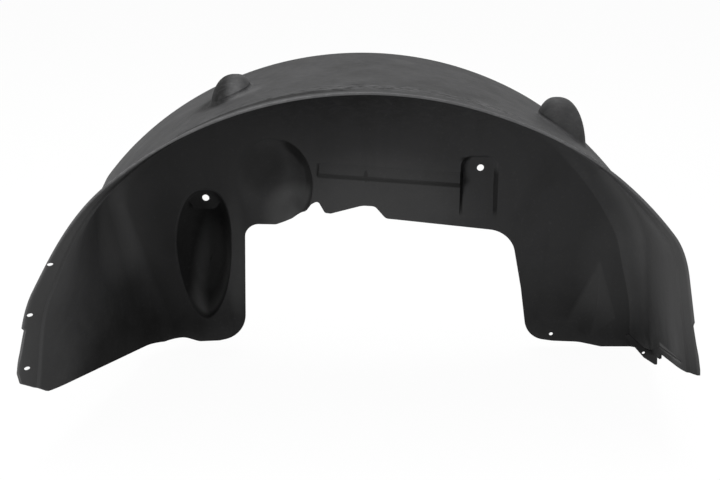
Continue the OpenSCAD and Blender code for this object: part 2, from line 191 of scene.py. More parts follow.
class Plan:
    """The liner's sheet as formulas. A place along the arch is s: 0 at the left foot, 1 at the right."""

    # how much smaller the arch is at the wall, the height of its centre, and the reach of its fold
    draft = 8.5
    arch_z = 4.8
    fold = 30
    # left side at the rim: distance, lean, how much narrower the arch is above it, height of its end
    left_rim_x = 358.5
    left_rim_lean = 10.5
    left_tuck = 8.5
    left_end_z = 73
    # left side at the wall: distance, lean, height of its foot, reach of its fold
    left_wall_x = 243
    left_wall_lean = 14
    left_foot_z = 14
    left_fold = 28
    # right side at the rim: distance, lean, how much wider the arch is above it, height of its end
    right_rim_x = 350.5
    right_rim_lean = 11.5
    right_swell = 3.5
    right_end_z = 91
    # right side at the wall: distance, lean, height of its foot, reach of its fold
    right_wall_x = 350
    right_wall_lean = 5
    right_foot_z = 2.5
    right_fold = 14
    # reach of the right side's roll, and how far it stands in front of the wall
    right_roll = 66
    right_crease = 11
    # how far the two ends of the rim flare out, the depth of the flare, and the depth of the lip
    left_flare = 14
    right_flare = 8
    flare_depth = 70
    lip_depth = 18
    # opening in the back wall: its sides, its two upper corners and its notch
    gap_left = 139
    gap_right = 197
    gap_top_left = 168
    gap_top_right = 158
    notch_x = -54
    # distance of the wall's inner end from the arch centre, before it is trimmed
    inner_r = 118
    # long pocket: centre, half width, length above and below it, depth of the shelf at its head
    pocket_x = -191
    pocket_z = 144
    pocket_w = 34
    pocket_up = 69
    pocket_down = 101
    pocket_shelf = 9
    # round pocket: centre, half width and half height
    round_x = -102
    round_z = 216
    round_w = 45
    round_h = 57
    # arched bolt seat: centre, width, top and foot, how much each side is drafted, length of its ramp
    seat_x = 140.5
    seat_w = 43
    seat_top = 251
    seat_foot = 178
    seat_draft = 3
    seat_ramp = 40
    # ledge beside the seat: length, height of its left end, width, how far it stands out, slope
    ledge_len = 170
    ledge_z = 226
    ledge_w = 18
    ledge_out = 4
    ledge_slope = 4.4
    ledge_x = seat_x - seat_w / 2 - ledge_len
    # facet beside the right fold: place of its middle, height of its point, depth
    facet_x = right_wall_x - 66
    facet_top = 122
    facet_depth = 3.5
    # domes on the arch: place along Y, then the place along X and the height of each
    domes_y = 128
    left_dome_x = -134
    left_dome_h = 22
    right_dome_x = 207
    right_dome_h = 35
    # ear and bead at the right foot: place of the ear along Y, half width and ends of the bead
    ear_y = 190
    bead_r = 1.6
    bead_start = 36
    bead_end = 146
    # holes, along X and Z: from the long pocket's centre, the middle of the seat's top, the lower right
    # corner of the opening, and the ear's root
    shelf_hole = (5.2, 53.4)
    seat_hole = (2.2, -16.8)
    foot_hole = (40.5, 17.5)
    ear_hole = (-9.5, -8.8)
    # holes along the left rim: place along the arch, and depth behind the edge
    rim_holes = ((0.033, 8.5), (0.0941, 5), (0.1537, 4))

    def __init__(self, sizes):
        self.arch_r = sizes.arch / MM
        self.depth = sizes.depth / MM
        self.sheet = sizes.sheet / MM
        self.lip_step = sizes.lip_step / MM
        self.long_depth = sizes.long_pocket / MM
        self.round_depth = sizes.round_pocket / MM
        self.seat_depth = sizes.seat / MM
        self.wall_r = self.arch_r - self.draft
        self.rim_a0 = 180 - math.degrees(math.asin((self.left_end_z - self.arch_z) / self.left_rim_x))
        self.rim_a1 = math.degrees(math.asin((self.right_end_z - self.arch_z) / self.right_rim_x))
        left_reach = self.left_wall_x + 10
        self.wall_a0 = 180 - math.degrees(math.asin((self.left_foot_z - self.arch_z) / left_reach))
        self.wall_a1 = math.degrees(math.asin((self.right_foot_z - self.arch_z) / self.right_wall_x))

    @staticmethod
    def side(p, n, a):
        """Polar distance of a straight side whose normal points along the angle n"""
        return p / np.maximum(cos(a - n), 0.2)

    def rim(self, s):
        """Plan of the rim, as X and Z"""
        a = mix(self.rim_a0, self.rim_a1, s)
        arch = self.arch_r + self.right_swell * soft((72 - a) / 22) - self.left_tuck * soft((a - 131) / 20)
        r = ease_min(arch, self.side(self.right_rim_x, self.right_rim_lean, a), 10)
        r = ease_min(r, self.side(self.left_rim_x, 180 - self.left_rim_lean, a), 8)
        return np.stack([r * cos(a), self.arch_z + r * sin(a)], -1)

    def corner(self, s):
        """Plan of the back wall's outer corner, as X and Z"""
        a = mix(self.wall_a0, self.wall_a1, s)
        r = ease_min(self.wall_r, self.side(self.right_wall_x, self.right_wall_lean, a), 6)
        r = ease_min(r, self.side(self.left_wall_x, 180 + self.left_wall_lean, a), 24)
        return np.stack([r * cos(a), self.arch_z + r * sin(a)], -1)

    def inner_end(self, s):
        """Inner end of the wall's sheet, inside the opening until it is trimmed"""
        a = mix(self.wall_a0, self.wall_a1, s)
        return np.stack([self.inner_r * cos(a), self.arch_z + self.inner_r * sin(a)], -1)

    @staticmethod
    def outward(line, s):
        """Unit normal of a plan line, pointing away from the wheel"""
        d = line(s + 0.002) - line(s - 0.002)
        n = np.stack([-d[..., 1], d[..., 0]], -1)
        return n / np.linalg.norm(n, axis=-1, keepdims=True)

    def rim_lift(self, s, y):
        """How far the sheet stands out of the plain arch near the rim"""
        flare = np.where(s < 0.5, self.left_flare * soft((0.42 - s) / 0.3),
                         self.right_flare * soft((s - 0.66) / 0.25))
        curl = (clamp(1 - y / self.flare_depth) ** 3 - 1) * clamp(1 - y / self.depth)
        return flare * curl + self.lip_step * soft((self.lip_depth + 2.6 - y) / 2.2)

    def side_point(self, s, y, t):
        """Point of the arch at depth y, t outside its inner face"""
        n0 = self.outward(self.rim, s)
        n1 = self.outward(self.corner, s)
        k = (y / (self.depth + t))[..., None]
        t = np.asarray(t)[..., None]
        q = mix(self.rim(s) + n0 * t, self.corner(s) + n1 * t, k)
        q = q + n0 * self.rim_lift(s, y)[..., None]
        return np.stack([q[..., 0], y + 0 * q[..., 0], q[..., 1]], -1)

    def height(self, x, y, t):
        """Height of the arch over places x, y, t outside its inner face"""
        s = np.linspace(0.2, 0.9, 260)
        line = self.side_point(s[None, :], y[:, None], np.full((len(y), 1), t))
        return np.array([np.interp(at, row[:, 0], row[:, 2]) for at, row in zip(x, line)])

    def wall_reach(self, s):
        """Reach of the fold along the back wall"""
        return np.where(s < 0.5, mix(self.left_fold, self.fold, soft((s - 0.1) / 0.24)),
                        mix(self.fold, self.right_fold, soft((s - 0.84) / 0.12)))

    def roll(self, s):
        """Reach of the fold along the arch"""
        return mix(self.wall_reach(s), self.right_roll, soft((s - 0.66) / 0.14))

    def crease(self, s):
        """How far the roll stands in front of the wall at the corner"""
        return self.right_crease * soft((s - 0.68) / 0.12) * soft((1.05 - s) / 0.12)

    def ribs(self, columns, rows_y, fold_rows, t):
        """Points over the sheet's face, t outside its inner face, in rows from the rim to the inner end"""
        s = np.linspace(0, 1, columns)
        outside = np.full_like(s, t)
        rows = [self.side_point(s, np.full_like(s, y), outside) for y in rows_y]
        roll_y = self.depth - self.roll(s)
        for k in np.linspace(0, 1, 10)[1:-1]:
            rows.append(self.side_point(s, mix(rows_y[-1], roll_y, k), outside))
        wall_y = self.depth + t
        a = self.side_point(s, roll_y, outside)
        q = self.corner(s) + self.outward(self.corner, s) * t
        b = np.stack([q[:, 0], wall_y - self.crease(s), q[:, 1]], -1)
        f = np.stack([q[:, 0], np.full_like(s, wall_y), q[:, 1]], -1)
        e = self.inner_end(s)
        e = np.stack([e[:, 0], np.full_like(s, wall_y), e[:, 1]], -1)
        c = f + (e - f) / np.linalg.norm(e - f, axis=1, keepdims=True) * (self.wall_reach(s) + t)[:, None]
        pull = 0.76
        for k in np.linspace(0, 1, fold_rows):
            u, m, v = (1 - k) ** 2, 2 * pull * k * (1 - k), k * k
            rows.append((a * u + b * m + c * v) / (u + m + v))
        rows.append(mix(c, e, 0.5))
        rows.append(e)
        return np.array(rows)


# Modelling helpers

def placed(points):
    """Plan millimetres to metres in the row frame"""
    return (np.asarray(points, float) - MIDDLE) * MM


def deselect():
    """Leaves object mode with nothing selected"""
    if bpy.context.object and bpy.context.object.mode != "OBJECT":
        bpy.ops.object.mode_set(mode="OBJECT")
    bpy.ops.object.select_all(action="DESELECT")


def loft(name, rings):
    """Closed solid through a stack of closed rings, given as ring, point and plan coordinate"""
    rings = np.asarray(rings, float)
    m, n = rings.shape[:2]
    deselect()
    bpy.ops.mesh.primitive_grid_add(x_subdivisions=m - 1, y_subdivisions=n, size=2)
    piece = bpy.context.object
    piece.name = name
    flat = np.empty(len(piece.data.vertices) * 3)
    piece.data.vertices.foreach_get("co", flat)
    flat = flat.reshape(-1, 3)
    if len(flat) != m * (n + 1):
        raise RuntimeError(f"{name}: the grid has {len(flat)} points, not {m * (n + 1)}")
    i = np.rint((flat[:, 0] + 1) / 2 * (m - 1)).astype(int)
    j = np.rint((flat[:, 1] + 1) / 2 * n).astype(int) % n
    piece.data.vertices.foreach_set("co", placed(rings[i, j]).ravel())
    bpy.ops.object.mode_set(mode="EDIT")
    bpy.ops.mesh.select_all(action="SELECT")
    bpy.ops.mesh.remove_doubles(threshold=1e-7)
    bpy.ops.mesh.select_all(action="SELECT")
    bpy.ops.mesh.fill_holes(sides=0)
    bpy.ops.mesh.select_all(action="SELECT")
    bpy.ops.mesh.normals_make_consistent(inside=False)
    bpy.ops.object.mode_set(mode="OBJECT")
    return piece


def combine(piece, tool, operation):
    """Adds the tool's solid to the piece, or cuts it out, and removes the tool"""
    deselect()
    bpy.context.view_layer.objects.active = piece
    piece.select_set(True)
    modifier = piece.modifiers.new("Solid", "BOOLEAN")
    modifier.operation = operation
    modifier.solver = "MANIFOLD"
    modifier.object = tool
    before = len(piece.data.vertices)
    bpy.ops.object.modifier_apply(modifier=modifier.name)
    if len(piece.data.vertices) < 100:
        raise RuntimeError(f"{tool.name} left {len(piece.data.vertices)} of {before} points")
    bpy.data.objects.remove(tool, do_unlink=True)


def rounded(corners, step=6):
    """Outline with its corners rounded, from points with a radius each"""
    out = []
    count = len(corners)
    for i, (x, z, r) in enumerate(corners):
        if r < 0.3:
            out.append((x, z))
            continue
        p = np.array([x, z], float)
        a = np.array(corners[i - 1][:2], float) - p
        b = np.array(corners[(i + 1) % count][:2], float) - p
        a, b = a / np.linalg.norm(a), b / np.linalg.norm(b)
        half = math.acos(np.clip(a @ b, -1, 1)) / 2
        start, end = p + a * (r / math.tan(half)), p + b * (r / math.tan(half))
        middle = p + (a + b) / np.linalg.norm(a + b) * (r / math.sin(half))
        first = math.atan2(*(start - middle)[::-1])
        turn = (math.atan2(*(end - middle)[::-1]) - first + math.pi) % math.tau - math.pi
        parts = max(2, math.ceil(abs(math.degrees(turn)) / step))
        for k in range(parts + 1):
            angle = first + turn * k / parts
            out.append((middle[0] + r * math.cos(angle), middle[1] + r * math.sin(angle)))
    return np.array(out)


def eased_line(points, times=2):
    """Open line of points with its corners cut again and again, its ends kept"""
    line = np.array(points, float)
    for _ in range(times):
        a, b = line[:-1], line[1:]
        cut = np.stack([mix(a, b, 0.25), mix(a, b, 0.75)], 1).reshape(-1, line.shape[1])
        line = np.concatenate([line[:1], cut[1:-1], line[-1:]])
    return line


def divided(line, longest, parts):
    """Closed outline with each side over a length divided into parts"""
    out = []
    for start, end in zip(line, np.roll(line, -1, axis=0)):
        long_side = np.linalg.norm(start - end) > longest
        out.append(np.linspace(start, end, parts, endpoint=False) if long_side else start[None, :])
    return np.concatenate(out)


def prism_y(name, outline, y0, y1):
    """Outline in X and Z, given depth along Y"""
    rings = [np.stack([outline[:, 0], np.full(len(outline), y), outline[:, 1]], -1) for y in (y0, y1)]
    return loft(name, rings)


def prism_x(name, outline, x0, x1):
    """Outline in Y and Z, given depth along X"""
    rings = [np.stack([np.full(len(outline), x), outline[:, 0], outline[:, 1]], -1) for x in (x0, x1)]
    return loft(name, rings)


def drill(piece, x, y, z, diameter, length):
    """Round hole along Y that starts at the depth y"""
    deselect()
    where = placed([x, y + length / 2, z])
    bpy.ops.mesh.primitive_cylinder_add(vertices=48, radius=diameter / 2 * MM, depth=length * MM,
                                        location=where, rotation=(math.pi / 2, 0, 0))
    tool = bpy.context.object
    tool.name = "drill"
    bpy.ops.object.transform_apply(location=True, rotation=True, scale=True)
    combine(piece, tool, "DIFFERENCE")


# Forms of the back wall: outline scaled by k, and depth at k

def long_ring(plan, k, g):
    """Closed outline of the long pocket, k of its full size and grown by g"""
    p = np.arange(ROUND) * 360.0 / ROUND
    up = sin(p) > 0
    w = (plan.pocket_w + g) * k
    h = np.where(up, plan.pocket_up, plan.pocket_down) * k + g
    q = np.where(up, 0.78, 1.12)
    x = plan.pocket_x + 1 + np.sign(cos(p)) * w * np.abs(cos(p)) ** q + np.where(up, 4 * sin(p), 0)
    z = plan.pocket_z - 40 * (1 - k) + h * sin(p)
    return x, z


def long_pocket(plan, g):
    """Solid of the long pocket, with the shelf of the bolt seat at its head"""
    # share of the outline, and depth at that share in a pocket 42 mm deep
    wall = [(0.985, 0.6), (0.97, 3.0), (0.88, 13.0), (0.77, 25.5), (0.69, 33.0), (0.61, 38.0)]
    floor = [(0.49, 41.2), (0.32, 42.0), (0.15, 42.0), (0.03, 42.0)]
    shape = eased_line(wall + floor)
    stretch = plan.long_depth / shape[-1, 1]
    if g > 0:
        edge = [(1.0, (plan.sheet * 0.5 - g) / stretch)]
    else:
        edge = [(1.045, -2.0), (1.03, -0.6), (1.015, -0.1)]
    rings = []
    for k, d in edge + [(1.0, 0.25)] + list(shape):
        x, z = long_ring(plan, k, g)
        rings.append(np.stack([x, np.full(ROUND, plan.depth + d * stretch + g), z], -1))
    pocket = loft("long_pocket", rings)
    x = plan.pocket_x
    shelf = rounded([
        (x - 60, 262, 0), (x - 60, 196, 0), (x - 14 + g, 192, 5), (x - 9 + g, 184 + g, 7),
        (x + 17 - g, 184 + g, 7), (x + 22 - g, 192, 5), (x + 60, 196, 0), (x + 60, 262, 0)], step=5)
    behind = plan.depth + plan.pocket_shelf + g
    combine(pocket, prism_y("shelf", shelf, behind, behind + plan.long_depth), "DIFFERENCE")
    return pocket


def round_pocket(plan, g):
    """Solid of the round pocket: soft on its left and steep on its right"""
    p = np.arange(ROUND) * 360.0 / ROUND
    steep = soft((cos(p - 20) + 0.3) / 0.9)
    skin = g - 0.05 if g > 0 else 0
    # angles in front of the wall, and from the pocket's edge to its middle
    front = (-8, -5, -2.5)
    inside = (0, 2, 4, 6, 8, 10, 13, 16, 20, 24, 28, 33, 38, 44, 50, 56, 62, 68, 74, 80, 85, 88.5)
    rings = []
    for a in front + inside:
        k = 1 + 0.012 * (abs(a) / 8) if a < 0 else cos(a)
        cx = mix(plan.round_x + 23, plan.round_x, min(k, 1))
        cz = mix(plan.round_z - 14, plan.round_z, min(k, 1))
        x = cx + (plan.round_w + g) * k * cos(p)
        z = cz + (plan.round_h + g) * k * sin(p)
        if a < 0:
            d = 0.07 * a * np.ones(ROUND)
        else:
            d = plan.round_depth * mix(soft(1 - k), np.sqrt(1 - k * k), steep)
        rings.append(np.stack([x, plan.depth + d + skin, z], -1))
    if g > 0:
        rings = rings[len(front):]
        rings[0][:, 1] = plan.depth + plan.sheet * 0.5
    else:
        rings[0][:, 1] = plan.depth - 2
    return loft("round_pocket", rings)


def bolt_seat(plan, g):
    """Solid of the arched bolt seat, which runs out at its foot"""
    deep, draft = plan.seat_depth, plan.seat_draft
    # depth, and how far the outline is grown there
    steps = [(-2.0, 1.6), (-0.25, 1.2), (0.1, 0.7), (0.5, 0.3), (1.2, 0.0),
             (deep - 1.4, -draft + 0.4), (deep - 0.6, -draft - 0.1), (deep - 0.15, -draft - 0.7),
             (deep, -draft - 1.5)]
    rings = []
    for d, grow in steps:
        w = plan.seat_w / 2 + grow + g
        low, top = plan.seat_foot - 6 - grow, plan.seat_top + grow + g
        line = rounded([(w, low, 0), (w, top, w * 0.62), (-w, top, w * 0.62), (-w, low, 0)], step=8)
        rings.append((divided(line, 20, 24), d))
    line, d = rings[-1]
    centre = np.array([0, plan.seat_foot + 36.0])
    rings += [(centre + (line - centre) * k, d) for k in (0.8, 0.6, 0.4, 0.2, 0.03)]
    out = []
    for i, (line, d) in enumerate(rings):
        ramp = (line[:, 1] - plan.seat_foot) / plan.seat_ramp * deep
        depth = np.minimum(d, np.maximum(ramp, -0.25)) + g
        if i == 0:
            depth = np.full(len(line), plan.sheet * 0.5 if g > 0 else -6.0)
        out.append(np.stack([plan.seat_x + line[:, 0], plan.depth + depth, line[:, 1]], -1))
    if g > 0:
        out = [out[0]] + out[4:]
    return loft("bolt_seat", out)


def wall_ledge(plan, g):
    """Wedge of the ledge beside the bolt seat, moved by g along Y and drawn in by about g at its ends"""
    length, out, wide, slope = plan.ledge_len, plan.ledge_out, plan.ledge_w, plan.ledge_slope
    slant = (wide - out - 1) / out
    profile = rounded([(1.0, -1.0, 0), (-out, out, 0.5), (-out, out + 1, 0.4), (1.0, wide + slant, 0)],
                      step=15)
    end = length - g - 1 if g > 0 else length + 1
    # place along the ledge, and share of its full height there
    places = [(g, 0.5), (g + 0.4, 0.85), (g + 1.2, 1.0), (length / 2, 1.0), (end, 1.0)]
    rings = []
    for d, share in places:
        y = np.where(profile[:, 0] < 0, profile[:, 0] * share, profile[:, 0])
        x = plan.ledge_x + d * cos(slope) + profile[:, 1] * sin(slope)
        z = plan.ledge_z - d * sin(slope) + profile[:, 1] * cos(slope)
        rings.append(np.stack([x, plan.depth + g + y, z], -1))
    return loft("ledge", rings)


def wall_facet(plan, g):
    """Shallow facet pressed into the wall beside the right fold"""
    x = plan.facet_x
    line = rounded([(x + 7.5, plan.facet_top + g, 2), (x - 34 - g, 42, 5), (x, 14 - g, 4),
                    (x + 33 + g, 42, 5)], step=12)
    centre = np.array([x + 9, 46.0])
    # share of the outline, and depth at that share, the slope's for a facet 3.5 mm deep
    edge = [(1.04, -1.5), (1.0, -0.08), (0.97, 0.05)]
    slope = [(0.6, 1.35), (0.25, 2.8), (0.08, 3.3), (0.01, 3.4)]
    stretch = plan.facet_depth / 3.5
    rings = []
    for k, d in edge + [(k, d * stretch) for k, d in slope]:
        q = centre + (line - centre) * k
        depth = np.full(len(q), d + g if d > -1 else d)
        if g > 0 and k > 1:
            depth[:] = plan.sheet * 0.5
        rings.append(np.stack([q[:, 0], plan.depth + depth, q[:, 1]], -1))
    return loft("facet", rings)


def arch_dome(plan, x, wide, deep, lean, rise, drop, g):
    """Dome on the arch as a solid with a soft foot, its skin g outside the inner face.

    It is wide along X and deep along Y, leans to its foot, and rises over the arch from a foot that lies
    the drop below its top.
    """
    p = np.arange(ROUND) * 360.0 / ROUND
    # a power below 1 makes the dome fuller than an ellipsoid
    full = 0.8
    ux = np.sign(cos(p)) * np.abs(cos(p)) ** full
    uy = np.sign(sin(p)) * np.abs(sin(p)) ** full
    inset = g - plan.sheet
    crown = plan.arch_z + math.sqrt((plan.arch_r - plan.draft * plan.domes_y / plan.depth) ** 2 - x * x)
    foot = crown + rise - drop
    soften = 5.0 if g > 0 else 4.0

    def place(a, grow=0.0):
        """Points at the angle a up each meridian, grown outward"""
        k = np.maximum(cos(a), 0.0) ** full
        px = x + lean * (1 - k) + (wide + inset) * k * ux + grow * cos(p)
        py = plan.domes_y + (deep + inset) * k * uy + grow * sin(p)
        return px, py, foot + (drop + inset) * sin(a)

    steps = np.arange(0.0, 90.0, 1.0)
    clear = []
    for a in steps:
        px, py, pz = place(np.full(ROUND, a))
        clear.append(pz - plan.height(px, py, g) - soften)
    start = np.array([np.interp(0.0, column, steps) for column in np.array(clear).T])
    rings = []
    for k in (0.04, 0.35, 0.7, 1.0):
        px, py, _ = place(start, soften + 1.5)
        cx, cy = px.mean(), py.mean()
        px, py = cx + (px - cx) * k, cy + (py - cy) * k
        rings.append(np.stack([px, py, plan.height(px, py, plan.sheet * 0.5 if g > 0 else -2.0)], -1))
    for turn in np.linspace(0, 90, 13):
        px, py, _ = place(start, soften * (1 - sin(turn)))
        rings.append(np.stack([px, py, plan.height(px, py, g) - 0.04 + soften * (1 - cos(turn))], -1))
    for t in np.linspace(0, 1, 22)[1:]:
        px, py, pz = place(mix(start, 89.6, t ** 0.85))
        rings.append(np.stack([px, py, pz], -1))
    return loft("dome", rings)


def left_dome(plan, g):
    """Low dome on the left of the arch"""
    return arch_dome(plan, plan.left_dome_x, 23, 34, 3, plan.left_dome_h, 34, g)


def right_dome(plan, g):
    """Tall dome on the right of the arch"""
    return arch_dome(plan, plan.right_dome_x, 29, 26, -4, plan.right_dome_h, 62, g)


def opening_outline(p):
    """Outline of what is cut away below and inside the back wall"""
    a, b, h, n = -p.gap_left, p.gap_right, p.gap_top_left, p.notch_x
    f, g, q = p.left_foot_z, p.right_foot_z, p.gap_top_right
    return rounded([
        (a - 124, -80, 0), (a - 124, f - 4, 0), (a - 112, f - 0.5, 20), (a - 80, f + 4.5, 24),
        (a - 62, f - 1.5, 16), (a - 37, f - 0.5, 12),
        (a - 4, f + 7, 34), (a, h, 17), (n - 48, h - 2, 12), (n - 28, h + 4, 14),
        (n - 13, h + 13, 8), (n - 5, h + 24, 5), (n + 3, h + 28, 4), (n + 11, h + 13, 4),
        (n + 18, h + 12, 8), (n + 56, h + 22, 26), (n + 71, h + 21, 9),
        (n + 84, q + 15.5, 9), (n + 94, q + 14.5, 9),
        (b - 15, q - 2, 36), (b, 82, 30), (b + 10, g + 13.5, 28), (b + 43, g + 8.5, 24), (b + 75, g + 7, 60),
        (b + 103, g + 0.5, 0), (b + 103, -80, 0)], step=5)


def rim_trims(p):
    """What is cut off the rim at its two ends"""
    left, right = p.left_end_z, p.right_end_z
    left_line = rounded([
        (-6, left - 53, 0), (-6, left + 81, 0), (0, left + 78, 0), (3, left + 74, 2), (1.5, left + 51, 6),
        (-0.5, left + 31, 3), (4, left + 14, 5), (36, left - 12, 5), (70, left - 23, 0), (70, left - 53, 0)])
    right_line = rounded([
        (-6, right - 81, 0), (-6, right + 67, 0), (0, right + 64, 0), (4, right + 57, 2),
        (2.5, right + 37, 6), (-0.5, right + 16, 2), (2, right + 2.5, 1), (146, right - 42, 2),
        (150, right - 51, 2), (150, right - 81, 0)])
    yield prism_x("trim", left_line, -p.left_rim_x - 40, -p.left_rim_x + 40)
    yield prism_x("trim", right_line, p.right_rim_x - 40, p.right_rim_x + 40)


def side_at(plan, s, y, t=0.0):
    """One point of the arch"""
    return plan.side_point(np.array([s]), np.array([float(y)]), np.array([float(t)]))[0]


def ear_root(plan):
    """Where the ear leaves the right side"""
    return side_at(plan, 0.99, plan.ear_y)


def ear(plan):
    """Small ear at the foot of the right side"""
    root = ear_root(plan)
    line = rounded([(-33, 14, 1), (-29, 16, 1), (-9, -3, 3), (7, -9, 2), (8, -24, 1), (5, -24, 1),
                    (-9, -14.5, 3), (-19, -3, 3)], step=12)
    return prism_y("ear", line + [root[0], root[2]], plan.ear_y, plan.ear_y + plan.sheet)


def foot_bead(plan):
    """Bead along the foot of the right side"""
    rings = []
    a = np.arange(0, 360, 22.5)
    for y in np.linspace(plan.bead_start, plan.bead_end, 24):
        x, _, z = side_at(plan, 0.984, y)
        r = plan.bead_r * (1 if plan.bead_start + 2 < y < plan.bead_end - 2 else 0.5)
        rings.append(np.stack([x + r * cos(a), np.full(len(a), y), z + r * sin(a)], -1))
    return loft("bead", rings)


def sheet_rings(plan, columns=440, fold_rows=17):
    """Closed loops round the sheet's section, one for each row from the rim to the inner end"""
    # depths of the rows: the rounded edge and the lip, the lip's step, and the arch behind it
    lip = [0.0, 0.25, 0.8, 4, 8, 12, 15, 17.4]
    step = [18.4, 19.2, 20, 20.8, 22, 25]
    rows_y = lip + step + [30, 36, 43, 51, 60, 70, 80, 92, 104]
    # how far the first rows of the two faces come together at the rounded edge
    rim_insets = [0.8, 0.3]
    inner = plan.ribs(columns, rows_y, fold_rows, 0.0)
    outer = plan.ribs(columns, rows_y, fold_rows, plan.sheet)
    for row, inset in enumerate(rim_insets):
        k = inset / plan.sheet
        inner[row], outer[row] = mix(inner[row], outer[row], k), mix(outer[row], inner[row], k)
    return np.concatenate([inner, outer[:, ::-1]], axis=1)


# Surface of the plastic

class Value:
    """A number on a shader link, so that shader maths reads as a sum"""

    def __init__(self, shader, socket):
        self.shader = shader
        self.socket = socket

    def math(self, operation, *terms):
        """A Math node on values or plain numbers"""
        node = self.shader.add("ShaderNodeMath", {"operation": operation}, dict(enumerate(terms)))
        return Value(self.shader, node.outputs[0])

    def __add__(self, other):
        return self.math("ADD", self, other)

    def __radd__(self, other):
        return self.math("ADD", other, self)

    def __sub__(self, other):
        return self.math("SUBTRACT", self, other)

    def __rsub__(self, other):
        return self.math("SUBTRACT", other, self)

    def __mul__(self, other):
        return self.math("MULTIPLY", self, other)

    def __rmul__(self, other):
        return self.math("MULTIPLY", other, self)

    def larger(self, other):
        return self.math("MAXIMUM", self, other)

    def smaller(self, other):
        return self.math("MINIMUM", self, other)

    def near(self, centre, inner, outer):
        """1 closer to the centre than inner, 0 beyond outer, eased between them"""
        return 1 - self.math("ABSOLUTE", self - centre).smooth(inner, outer)

    def smooth(self, low, high):
        """0 below low, 1 above high, eased between them"""
        node = self.shader.add("ShaderNodeMapRange", {"interpolation_type": "SMOOTHSTEP"},
                               {"Value": self.socket, "From Min": low, "From Max": high})
        return Value(self.shader, node.outputs[0])


class Shader:
    """Nodes of one material or world"""

    def __init__(self, owner):
        self.owner = owner
        owner.use_nodes = True
        self.tree = owner.node_tree
        self.tree.nodes.clear()

    def add(self, kind, settings, inputs):
        """A node with its settings, and values or links for its inputs"""
        node = self.tree.nodes.new(kind)
        for key, value in settings.items():
            setattr(node, key, value)
        for key, value in inputs.items():
            if isinstance(value, Value):
                value = value.socket
            if isinstance(value, bpy.types.NodeSocket):
                self.tree.links.new(value, node.inputs[key])
            else:
                node.inputs[key].default_value = value
        return node

    def noise(self, place, scale, detail=4.0, roughness=0.55, distortion=0.0):
        """Cloudy noise, about 0 to 1"""
        node = self.add("ShaderNodeTexNoise", {}, {"Vector": place, "Scale": scale, "Detail": detail,
                                                   "Roughness": roughness, "Distortion": distortion})
        return Value(self, node.outputs["Fac"])

    def colour_mix(self, factor, first, second):
        """A colour between two, by a factor"""
        node = self.add("ShaderNodeMix", {"data_type": "RGBA"}, {0: factor, 6: first, 7: second})
        return node.outputs[2]


def rgba(colour):
    """A colour with full alpha"""
    return (*colour, 1.0)


def spot(u, v, cu, cv, ru, rv):
    """1 inside an oval on two coordinates, eased to 0 at its edge"""
    du = (u - cu) * (1 / ru)
    dv = (v - cv) * (1 / rv)
    return 1 - (du * du + dv * dv).smooth(0.1, 1.0)


def between(u, low, high, ease):
    """1 between two values and 0 outside them, eased over a width"""
    return u.smooth(low, low + ease) * (1 - u.smooth(high - ease, high))


def round_reach(plan, x, z):
    """0 in the middle of the round pocket and 1 at its edge"""
    across = (x - plan.round_x) * (1 / plan.round_w)
    up = (z - plan.round_z) * (1 / plan.round_h)
    return across * across + up * up


def facet_faces(plan, x, z):
    """Left and right face of the facet beside the right fold"""
    across = x - (plan.facet_x + 7.5)
    drop = plan.facet_top - z
    tall = z.smooth(24, 70) * (1 - z.smooth(plan.facet_top - 10, plan.facet_top + 2))
    ridge = (across - drop * 0.02).smooth(-3, 3)
    left = (across + drop * 0.44).smooth(-3, 6) * (1 - ridge)
    right = (1 - (across - drop * 0.32).smooth(-5, 1)) * ridge
    return left * tall, right * tall


def on_wall(plan, y):
    """1 on the back wall and behind it, 0 in front of its fold"""
    return y.smooth(plan.depth - 21, plan.depth - 3)


def ledge_lines(plan, x, z):
    """Shadow under the ledge and at its left end, and the small nick above it"""
    tilt = math.tan(math.radians(plan.ledge_slope))
    line = x * -tilt + (plan.ledge_z + plan.ledge_x * tilt)
    beside = between(x, plan.ledge_x - 1, plan.seat_x - plan.seat_w / 2, 1.0)
    under = (z - line).near(plan.ledge_out / 2 + 0.4, 2.2, 4.2) * beside * 1.2
    end = x.near(plan.ledge_x + 0.4, 0.8, 2.2) * between(z, plan.ledge_z, plan.ledge_z + plan.ledge_w, 2)
    nick = spot(x, z, 6, plan.ledge_z + 1, 3, 9) * 1.4
    return under + end * 0.6 + nick


def seat_lines(plan, x, z):
    """Shadow along the sides and the upper left corner of the bolt seat"""
    half = plan.seat_w / 2 - 1
    left, right = plan.seat_x - half, plan.seat_x + half
    upright = between(z, plan.seat_foot - 4, plan.seat_top - plan.seat_w * 0.3, 12)
    sides = (x.near(left, 1.3, 2.4) + x.near(right, 1.8, 3.0)) * upright
    corner = x.near(left + 4, 2.0, 8.0) * z.near(plan.seat_top - 4, 1.5, 4.0)
    return sides + corner


def round_shadow(plan, x, z):
    """Shadow on the steep right side of the round pocket"""
    out = round_reach(plan, x, z)
    right = x.smooth(plan.round_x + 2, plan.round_x + 24)
    ring = between(out, 0.60, 1.08, 0.12) * right * z.smooth(plan.round_z - 40, plan.round_z - 24)
    above = spot(x, z, plan.round_x + 28, plan.round_z + 40, 20, 26)
    return ring + between(out, 0.5, 1.04, 0.1) * above


def long_shadow(plan, x, y, z):
    """Shadow on the left wall and in the head of the long pocket"""
    inside = spot(x, z, plan.pocket_x, plan.pocket_z - 16, plan.pocket_w + 8, 105).smooth(0.0, 0.2)
    deep = y.smooth(plan.depth + 2.5, plan.depth + 5) * inside
    left_wall = 1 - (x - (z - 100) * 0.15).smooth(plan.pocket_x - 20, plan.pocket_x - 4)
    head = z.smooth(142, 176) * 0.8
    return deep * (left_wall + head).smaller(1.0) * z.smooth(52, 92)


